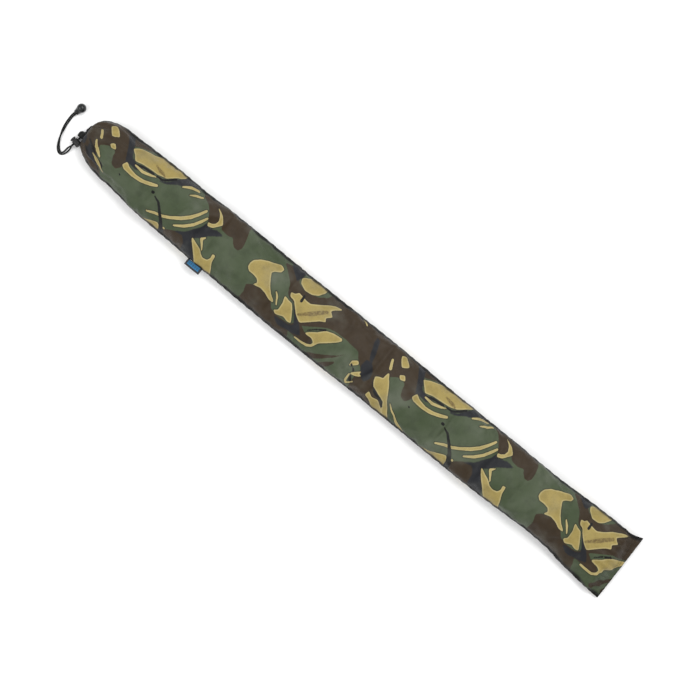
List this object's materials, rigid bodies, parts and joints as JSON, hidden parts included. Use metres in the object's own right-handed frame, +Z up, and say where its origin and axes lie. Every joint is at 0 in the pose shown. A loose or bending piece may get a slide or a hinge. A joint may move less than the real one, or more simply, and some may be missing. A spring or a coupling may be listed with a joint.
{
  "type": "drawstring storage sleeve",
  "caption": "Long padded camouflage cloth sleeve with a flat sewn end, a gathered mouth, a drawcord with a spring cord lock and a pear-shaped cord end.",
  "frame": {"origin": "centre of the sleeve's footprint, on the surface it lies on, without the free cord", "axes": "+X from the gathered mouth to the flat sewn end, +Y to the long edge opposite the label, +Z up"},
  "size_m": [1.2344, 0.1352, 0.0529],
  "materials": {
    "printed_cloth": "coated satin weave",
    "seam_tape": "matt",
    "filling": "soft fleece",
    "casing_cloth": "matt weave",
    "cord": "braided",
    "lock_plastic": "satin moulded",
    "spring_steel": "bright wire",
    "cord_end_rubber": "smooth moulded",
    "label_weave": "woven"
  },
  "bodies": {
    "sleeve": {"upper_panel": "printed_cloth", "lower_panel": "printed_cloth", "far_side_seam_tape": "seam_tape", "label_side_seam_tape": "seam_tape", "end_seam_tape": "seam_tape", "packed_filling": "filling", "mouth_casing": "casing_cloth", "drawcord_loop": "cord", "drawcord_tail_a": "cord", "drawcord_tail_b": "cord", "tail_knot": "cord", "cord_end_shell": "cord_end_rubber", "cord_end_plug": "cord_end_rubber"},
    "lock": {"cord_lock_barrel": "lock_plastic", "cord_lock_spring": "spring_steel"},
    "plunger": {"cord_lock_plunger": "lock_plastic"},
    "label": {"side_label": "label_weave"}
  },
  "joints": [
    {"name": "lock_slide", "type": "slide", "parent": "sleeve", "child": "lock", "axis": [-0.1392, -0.9903, 0], "range_m": [0, 0.004]},
    {"name": "plunger_press", "type": "slide", "parent": "lock", "child": "plunger", "axis": [0.9903, -0.1392, 0], "range_m": [0, 0.0026], "stiffness_N_per_m": 600, "springref_m": -0.004, "deforming": ["cord_lock_spring"]},
    {"name": "label_flex", "type": "hinge", "parent": "sleeve", "child": "label", "pos_m": [-0.302, -0.05557, 0.01917], "axis": [1, 0, 0], "range_deg": [-60, 60], "stiffness_Nm_per_rad": 0.0004}
  ]
}
